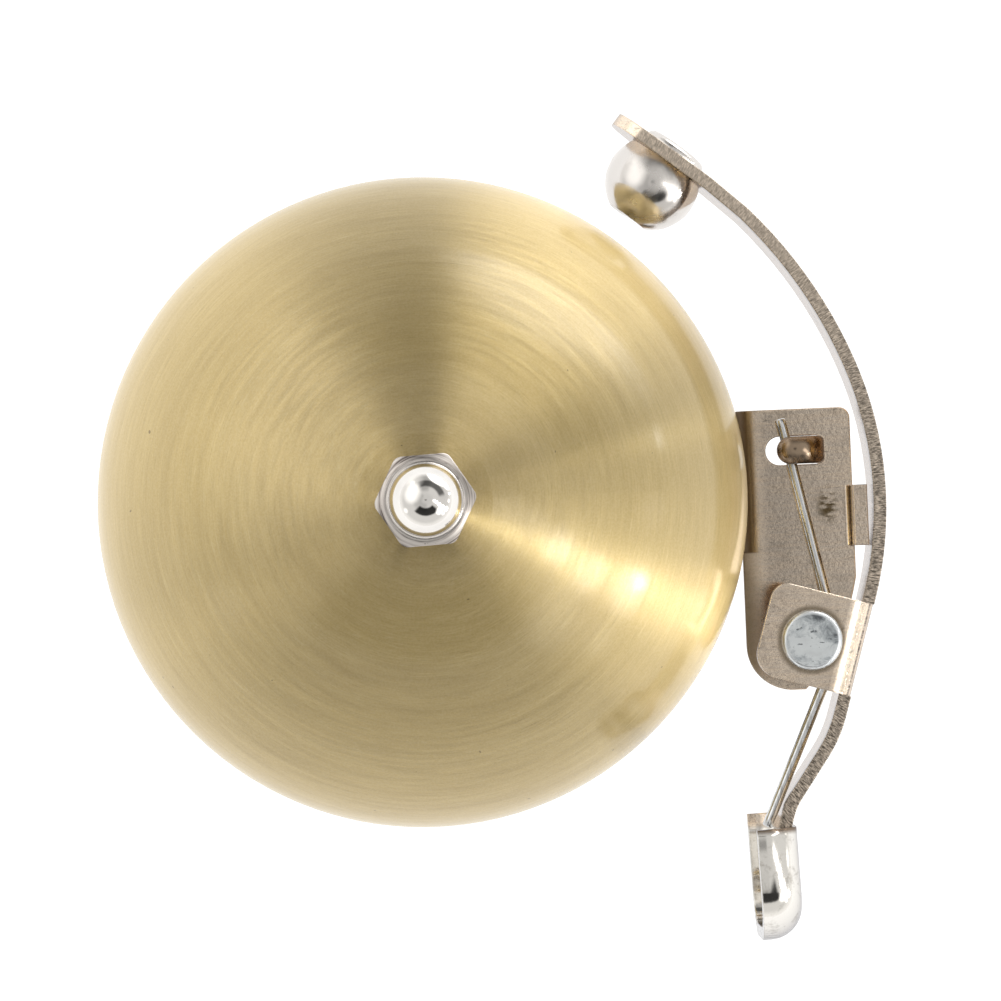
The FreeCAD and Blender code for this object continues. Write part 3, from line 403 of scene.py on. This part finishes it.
def nut_look():
    """Polished cap over a duller hexagon with turning lines and nicks."""
    polish = (0.77, 0.745, 0.71)
    look = Look("polished_nickel_nut", polish, 1.0, 0.06, edge=0.15 * MM)
    x, y, z = look.split(look.coords)
    flats = look.spread(z, HEX_TOP - 0.1 * MM, HEX_TOP + 0.3 * MM, 1.0, 0.0)
    lines = look.noise(look.join(look.times(look.length(x, y), 4200.0),
                                 look.times(x, 160.0), look.times(y, 160.0)),
                       1.0, 3.0, 0.7)
    nick = look.noise(look.coords, 1500.0, 2.0, 0.6)
    haze = look.noise(look.coords, 500.0, 3.0)
    dull = look.ramp(lines, [(0.38, (0.13, 0.11, 0.1)), (0.47, (0.42, 0.38, 0.35)),
                             (0.62, (0.62, 0.58, 0.54))])
    dull = look.mix(look.ramp(nick, [(0.66, 0.0), (0.72, 0.8)]), dull, (0.12, 0.1, 0.09))
    cap = look.mix(look.spread(haze, 0.4, 0.7, 0.0, 0.3), polish, (0.6, 0.57, 0.55))
    look.color(look.mix(flats, cap, dull))
    look.rough(look.spread(flats, 0.0, 1.0, 0.06, 0.3))
    look.bump(look.noise(look.coords, 900.0, 2.0), 0.01 * MM, 0.25)
    look.bump(look.times(lines, flats), 0.02 * MM, 0.4)
    return look.mat


def zinc():
    """Zinc on turned steel: blotched and pitted, with a painted highlight and a rounding
    bump on the pivot rivet's rim.
    """
    look = Look("blotched_zinc", (0.6, 0.64, 0.67), 1.0, 0.32, edge=0.22 * MM)
    blotch = look.noise(look.coords, 620.0, 6.0, 0.74, 0.5)
    pit = look.noise(look.scaled(1300.0, 2800.0, 1500.0), 1.0, 2.0, 0.6)
    off = look.reach_from(PIVOT.x - 0.5 * MM, PIVOT.y - 0.5 * MM)
    worn = look.spread(off, 1.2 * MM, 3.1 * MM, 0.06, -0.09)
    tone = look.ramp(look.add(blotch, worn),
                     [(0.3, (0.13, 0.14, 0.15)), (0.43, (0.42, 0.45, 0.47)),
                      (0.56, (0.7, 0.73, 0.74))])
    tone = look.mix(look.ramp(pit, [(0.64, 0.0), (0.70, 0.85)]), tone, (0.09, 0.1, 0.11))
    from_pivot = look.reach_from(PIVOT.x, PIVOT.y)
    # Painted highlight: a bright band on the rivet head's rounded rim.
    rim_highlight = look.band(from_pivot, 2.25 * MM, 2.5 * MM, 2.85 * MM, 2.95 * MM)
    look.color(look.mix(rim_highlight, tone, (0.78, 0.81, 0.83)))
    look.rough(look.spread(pit, 0.3, 0.7, 0.28, 0.45))
    past = look.math("MAXIMUM", look.less(from_pivot, 2.3 * MM), 0.0)
    look.bump(look.times(look.crown(past, 0.6 * MM), rim_highlight))
    look.bump(pit, 0.01 * MM, 0.4)
    return look.mat


def wire_look():
    """Drawn wire, its fine lines running along the spring's legs."""
    look = Look("drawn_spring_wire", (0.6, 0.61, 0.61), 1.0, 0.2)
    drawn = look.noise(look.scaled(3000.0, 200.0, 3000.0), 1.0, 3.0, 0.6)
    look.color(look.mix(look.spread(drawn, 0.45, 0.7), (0.66, 0.67, 0.68),
                        (0.4, 0.4, 0.39)))
    look.rough(look.spread(drawn, 0.3, 0.7, 0.13, 0.3))
    look.bump(drawn, 0.006 * MM, 0.4)
    return look.mat


def soft(name, tone, roughness, grain, depth):
    """Moulded nylon or rubber with a fine grain."""
    look = Look(name, tone, 0.0, roughness, edge=0.12 * MM)
    look.color(look.mix(look.noise(look.coords, grain / 6), tone,
                        scaled_color(tone, 0.8)))
    look.bump(look.noise(look.coords, grain), depth, 0.5)
    return look.mat


NICKEL = (0.78, 0.665, 0.545)
LOOKS = {
    "lacquered_brass": brass(),
    "bright_plate": ball_look(),
    "satin_plate": bracket_look(),
    "zinc_plate": zinc(),
    "spring_wire": wire_look(),
    "white_nylon": soft("white_nylon", (0.78, 0.77, 0.73), 0.45, 3000.0, 0.01 * MM),
    "black_rubber": soft("black_rubber", (0.022, 0.022, 0.023), 0.7, 2500.0, 0.03 * MM),
}
CLAMP_PLATE = finish_plate(sheet_plate("satin_nickel_clamp", NICKEL, 0.2))
OWN_LOOKS = {
    "lever": lever_look(),
    "acorn_nut": nut_look(),
    "clamp_saddle": CLAMP_PLATE,
    "clamp_strap": CLAMP_PLATE,
}


def dress_nodes():
    """Give each node its own look, or the look of its material slot."""
    for part in frame["record"]["subparts"]:
        look = OWN_LOOKS.get(part["node"]) or LOOKS[part["material_slot"]]
        for place in NODES[part["node"]].material_slots:
            place.material = look


# ---------------------------------------------------------------- spring
def spring_route():
    """Leg under the hook, coil up round the sleeve, leg into the thumb pad."""
    first, last = math.radians(12.1), math.radians(-23.5)
    radius, pitch, turns = 2.75 * MM, 1.08 * MM, 4
    leg, leg_steps, coil_steps = 20.4 * MM, 24, 240
    sweep = math.tau * turns + first - last
    bottom = PLATE_TOP + WIRE + 0.1 * MM
    top = bottom + pitch * sweep / math.tau

    def around(angle, level):
        return Vector((PIVOT.x + radius * math.cos(angle),
                       PIVOT.y + radius * math.sin(angle), level))

    start = around(first, bottom)
    along = Vector((-math.sin(first), math.cos(first), 0))
    points = [start + along * (leg * k / leg_steps) for k in range(leg_steps, 0, -1)]
    points += [around(first - sweep * k / coil_steps,
                      bottom + (top - bottom) * k / coil_steps)
               for k in range(coil_steps + 1)]
    leave = points[-1]
    in_pad = Vector((PAD_ACROSS + 1.33 * MM, PAD_START + 0.05 * MM, top - 1.2 * MM))
    points += [leave.lerp(in_pad, k / leg_steps) for k in range(1, leg_steps + 1)]
    return points


def tube_mesh(name, route, radius, cut, sides):
    """Round bar along a route with a steady frame and softened cut ends."""
    shape = bmesh.new()
    steps = len(route) - 1
    forward = [(route[min(k + 1, steps)] - route[max(k - 1, 0)]).normalized()
               for k in range(steps + 1)]
    across = forward[0].cross(Vector((0, 0, 1))).normalized()
    stations = [(route[0], 0, radius - cut), (route[0] + forward[0] * cut, 0, radius)]
    stations += [(route[k], k, radius) for k in range(1, steps)]
    stations += [(route[-1] - forward[-1] * cut, steps, radius),
                 (route[-1], steps, radius - cut)]
    rings = []
    for place, k, reach in stations:
        across = (across - forward[k] * across.dot(forward[k])).normalized()
        up = forward[k].cross(across)
        angles = [math.tau * n / sides for n in range(sides)]
        rings.append([
            shape.verts.new(place + (across * math.cos(t) + up * math.sin(t)) * reach)
            for t in angles])
    for here, there in zip(rings, rings[1:]):
        for n in range(sides):
            m = (n + 1) % sides
            shape.faces.new((here[n], here[m], there[m], there[n]))
    shape.faces.new(rings[0][::-1])
    shape.faces.new(rings[-1])
    bmesh.ops.recalc_face_normals(shape, faces=shape.faces)
    mesh = bpy.data.meshes.new(name)
    shape.to_mesh(mesh)
    shape.free()
    for face in mesh.polygons:
        face.use_smooth = len(face.vertices) == 4
    return mesh


def make_spring():
    """The return spring, held by the hook and carried by the thumb pad."""
    mesh = tube_mesh("return_spring_wire", spring_route(), WIRE, cut=0.12 * MM, sides=20)
    mesh.materials.append(LOOKS["spring_wire"])
    spring = bpy.data.objects.new("return_spring_wire", mesh)
    bpy.context.scene.collection.objects.link(spring)
    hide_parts("return_spring")
    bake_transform(spring)


# ---------------------------------------------------------------- studio
def make_floor():
    """Pale round floor just under the clamp."""
    mesh = bpy.data.meshes.new("pale_floor")
    shape = bmesh.new()
    bmesh.ops.create_circle(shape, cap_ends=True, segments=96, radius=6.0)
    shape.to_mesh(mesh)
    shape.free()
    floor = bpy.data.objects.new("pale_floor", mesh)
    floor.location.z = LOW - 0.6 * MM
    bpy.context.scene.collection.objects.link(floor)
    pale = (0.12, 0.12, 0.12)
    look = Look("pale_floor", pale, 0.0, 0.9)
    look.color(look.mix(look.noise(look.coords, 3.0), pale, (0.11, 0.11, 0.11)))
    look.set(look.bsdf, "Emission Color", (1, 1, 1, 1))
    look.set(look.bsdf, "Emission Strength", 1.12)
    mesh.materials.append(look.mat)


def sine(degrees):
    return math.sin(math.radians(degrees))


def cosine(degrees):
    return math.cos(math.radians(degrees))


# Degrees: azimuth, elevation, half angle of the core, half angle of the soft edge;
# then the strength.
LAMPS = [
    (-8, 63, 1.0, 6.0, 2.2),
    (-14, 55, 1.5, 6.5, 2.8),
    (-21, 44, 2.0, 6.5, 8.5),
    (-25, 30, 2.0, 7.0, 6.5),
    (-26, 15, 3.0, 8.0, 5.5),
    (-40, 32, 4.0, 15.0, 1.4),
    (-22.5, 12, 0.8, 1.9, 60.0),
    (-5, 12, 1.5, 5.0, 1.5),
    (-40, 15, 1.5, 6.0, 1.6),
    (13, 6, 1.0, 3.0, 12.0),
    (153, 42, 0.5, 36.0, 0.75),
    (125, 18, 0.5, 9.0, 0.5),
    (120, 20, 1.0, 30.0, 0.35),
    (-154, 14, 0.5, 9.0, 0.7),
    (57, 0, 14.0, 30.0, 4.4),
    (32, 4, 4.0, 13.0, 1.8),
]
# Degrees: azimuth, its half width, lowest and highest elevation, softness; then the
# share of the light that is left.
SHADES = [
    (-89, 48, 38, 64, 3.0, 0.05),
    (62, 48, 25, 46, 4.0, 0.2),
    (95, 16, 5, 62, 8.0, 0.6),
    (-130, 45, 50, 80, 8.0, 0.75),
    (150, 30, 58, 80, 8.0, 0.7),
]
HORIZON_LIGHT, SKY_LIGHT = 1.15, 0.84
OVERHEAD_SHARE, LENS_SHARE = 0.88, 0.3


def make_world():
    """Pale studio air with soft lamps and a few dim places, all set by direction."""
    world = bpy.data.worlds.new("studio_air")
    world.use_nodes = True
    graph = Graph(world.node_tree)
    toward = graph.node("TexCoord").outputs["Generated"]
    flat = graph.node("VectorMath", {"operation": "MULTIPLY"}, i0=toward,
                      i1=(1.0, 1.0, 0.0)).outputs[0]
    flat = graph.node("VectorMath", {"operation": "NORMALIZE"}, i0=flat).outputs[0]
    rise = graph.split(toward)[2]

    def nearness(direction, azimuth, elevation):
        """Cosine of the angle between a direction and a place in the sky."""
        place = (cosine(azimuth) * cosine(elevation), sine(azimuth) * cosine(elevation),
                 sine(elevation))
        node = graph.node("VectorMath", {"operation": "DOT_PRODUCT"}, i0=direction,
                          i1=place)
        return node.outputs["Value"]

    sky = graph.spread(rise, sine(2), sine(18), HORIZON_LIGHT, SKY_LIGHT)
    overhead = graph.spread(rise, sine(60), sine(80), 1.0, OVERHEAD_SHARE)
    lens = graph.spread(nearness(toward, 0, 90), cosine(5.5), cosine(2.5),
                        1.0, LENS_SHARE)
    light = graph.times(sky, overhead, lens)
    for azimuth, width, low, high, softness, left in SHADES:
        side = graph.spread(nearness(flat, azimuth, 0), cosine(width + 2 * softness),
                            cosine(width - 2 * softness))
        level = graph.band(rise, sine(low - softness), sine(low + softness),
                           sine(high - softness), sine(high + softness))
        light = graph.times(light, graph.math("MULTIPLY_ADD", graph.times(side, level),
                                              left - 1.0, 1.0))
    for azimuth, elevation, core, edge, strength in LAMPS:
        light = graph.add(light, graph.spread(nearness(toward, azimuth, elevation),
                                              cosine(edge), cosine(core), 0.0, strength))
    graph.set(graph.nodes["Background"], "Strength", light)
    graph.set(graph.nodes["Background"], "Color", (1.0, 0.99, 0.97, 1))
    bpy.context.scene.world = world


def make_camera():
    """Looks down the gong's axis from a stand a little off centre."""
    data = bpy.data.cameras.new("camera")
    camera = bpy.data.objects.new("camera", data)
    bpy.context.scene.collection.objects.link(camera)
    stand = 600 * MM
    view_width = 92.685 * MM      # width in view at the rim
    roll = math.radians(2.4)
    target = Vector((7.2 * MM, -0.13 * MM, RIM))
    place = Vector((-4.7 * MM, -3.6 * MM, RIM + stand))
    forward = (target - place).normalized()
    right = forward.cross(Vector((math.sin(roll), math.cos(roll), 0))).normalized()
    turn = Matrix((right, right.cross(forward), -forward)).transposed().to_4x4()
    camera.matrix_world = Matrix.Translation(place) @ turn
    data.sensor_width = 36.0
    data.lens = data.sensor_width * stand / view_width
    data.clip_start = 0.01
    data.clip_end = 20.0
    bpy.context.scene.camera = camera


dress_nodes()
make_spring()
make_floor()
make_world()
make_camera()
bpy.context.scene.view_settings.view_transform = "Standard"
